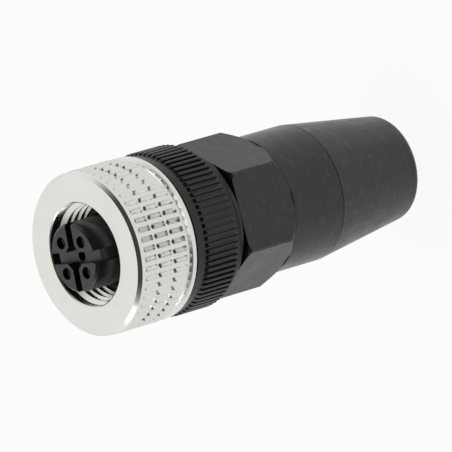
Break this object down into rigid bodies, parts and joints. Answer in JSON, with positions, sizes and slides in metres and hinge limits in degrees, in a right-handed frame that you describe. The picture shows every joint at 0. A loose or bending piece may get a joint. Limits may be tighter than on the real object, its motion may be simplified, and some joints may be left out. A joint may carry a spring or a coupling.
{
  "type": "M12 cable connector, straight, socket side",
  "caption": "Straight M12 cable connector with a knurled coupling nut, a socket insert, a hexagonal housing and a tapered gland nut.",
  "frame": {"origin": "centre of the box's bottom, on the connector's axis at the rear face of the gland nut", "axes": "+Z along the connector's axis towards the contact face, +X through the coding groove"},
  "size_m": [0.0192, 0.0192, 0.0479],
  "materials": {
    "nickel": "satin nickel plate on brass",
    "grip_black": "satin black moulding",
    "body_black": "matte black moulding",
    "gland_grey": "matte black-grey moulding",
    "insert_grey": "smooth dark grey moulding",
    "seal_rubber": "matte black rubber",
    "contact_gold": "gold-plated turned contact",
    "screw_steel": "plain turned steel",
    "clip_steel": "spring steel",
    "cage_white": "natural moulded plastic"
  },
  "bodies": {
    "housing": {"housing": "body_black", "cable_seal": "seal_rubber", "thrust_ring": "cage_white", "neck_seal": "seal_rubber", "front_sleeve": "grip_black", "terminal_block": "insert_grey", "contact_carrier": "insert_grey", "front_seal": "seal_rubber", "contact_1": "contact_gold", "contact_2": "contact_gold", "contact_3": "contact_gold", "contact_4": "contact_gold", "terminal_screw_1": "screw_steel", "terminal_screw_2": "screw_steel", "terminal_screw_3": "screw_steel", "terminal_screw_4": "screw_steel"},
    "nut_clip": {"nut_clip": "clip_steel"},
    "coupling_nut": {"coupling_nut": "nickel"},
    "clamp_cage": {"clamp_cage": "cage_white"},
    "gland_nut": {"gland_nut": "gland_grey"}
  },
  "joints": [
    {"name": "gland_turn", "type": "hinge", "parent": "gland_nut", "child": "clamp_cage", "pos_m": [0, 0, 0.007], "axis": [0, 0, 1], "range_deg": [0, 1080]},
    {"name": "clamp_travel", "type": "slide", "parent": "clamp_cage", "child": "housing", "axis": [0, 0, 1], "range_m": [0, 0.00226]},
    {"name": "nut_play", "type": "slide", "parent": "housing", "child": "nut_clip", "axis": [0, 0, 1], "range_m": [0, 0.0014]},
    {"name": "nut_spin", "type": "hinge", "parent": "nut_clip", "child": "coupling_nut", "pos_m": [0, 0, 0.042], "axis": [0, 0, 1], "continuous": true}
  ],
  "couplings": [
    {"joint": "clamp_travel", "follows": "gland_turn", "m_per_rad": 0.00011937}
  ]
}
